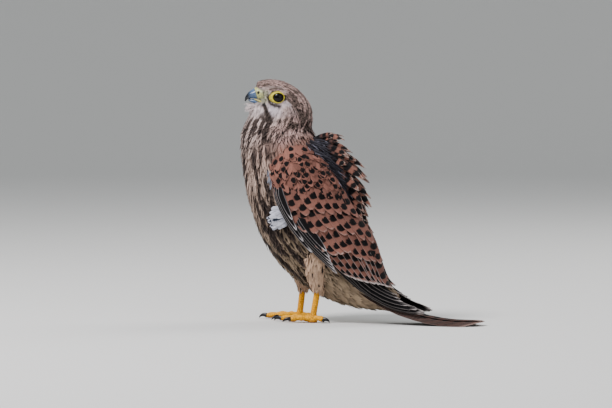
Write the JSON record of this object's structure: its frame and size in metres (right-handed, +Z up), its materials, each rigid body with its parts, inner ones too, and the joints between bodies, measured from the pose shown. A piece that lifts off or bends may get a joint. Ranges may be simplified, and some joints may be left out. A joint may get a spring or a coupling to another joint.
{
  "type": "common kestrel",
  "caption": "Life-size common kestrel in juvenile or female plumage, standing upright with its head turned and its tail laid on the floor.",
  "frame": {"origin": "on the floor under the middle of the bird's bounding box", "axes": "+Z up, the bird faces -X, its left side is towards -Y"},
  "size_m": [0.2506, 0.103, 0.2415],
  "materials": {
    "plumage": "soft contour feathers, buff with dark brown streaks",
    "flight_feathers": "stiff feathers, rufous brown with blackish bars and pale tips",
    "cere_skin": "smooth bare skin, yellow",
    "leg_skin": "scaled bare skin, orange yellow",
    "bill_horn": "glossy horn, blue grey with a black tip",
    "claw": "glossy horn, black",
    "eye": "wet and glossy, dark brown"
  },
  "bodies": {
    "root": {"head": "plumage", "cere": "cere_skin", "bill_upper": "bill_horn", "bill_lower": "bill_horn", "eye_left": "eye", "eye_right": "eye", "eye_ring_left": "cere_skin", "eye_ring_right": "cere_skin", "neck": "plumage", "torso": "plumage", "tail": "flight_feathers", "wing_left": "flight_feathers", "wing_right": "flight_feathers", "thigh_left": "plumage", "thigh_right": "plumage", "tarsus_left": "leg_skin", "tarsus_right": "leg_skin", "foot_left": "leg_skin", "foot_right": "leg_skin", "claw_middle_left": "claw", "claw_inner_left": "claw", "claw_outer_left": "claw", "claw_hind_left": "claw", "claw_middle_right": "claw", "claw_inner_right": "claw", "claw_outer_right": "claw", "claw_hind_right": "claw"}
  },
  "joints": []
}
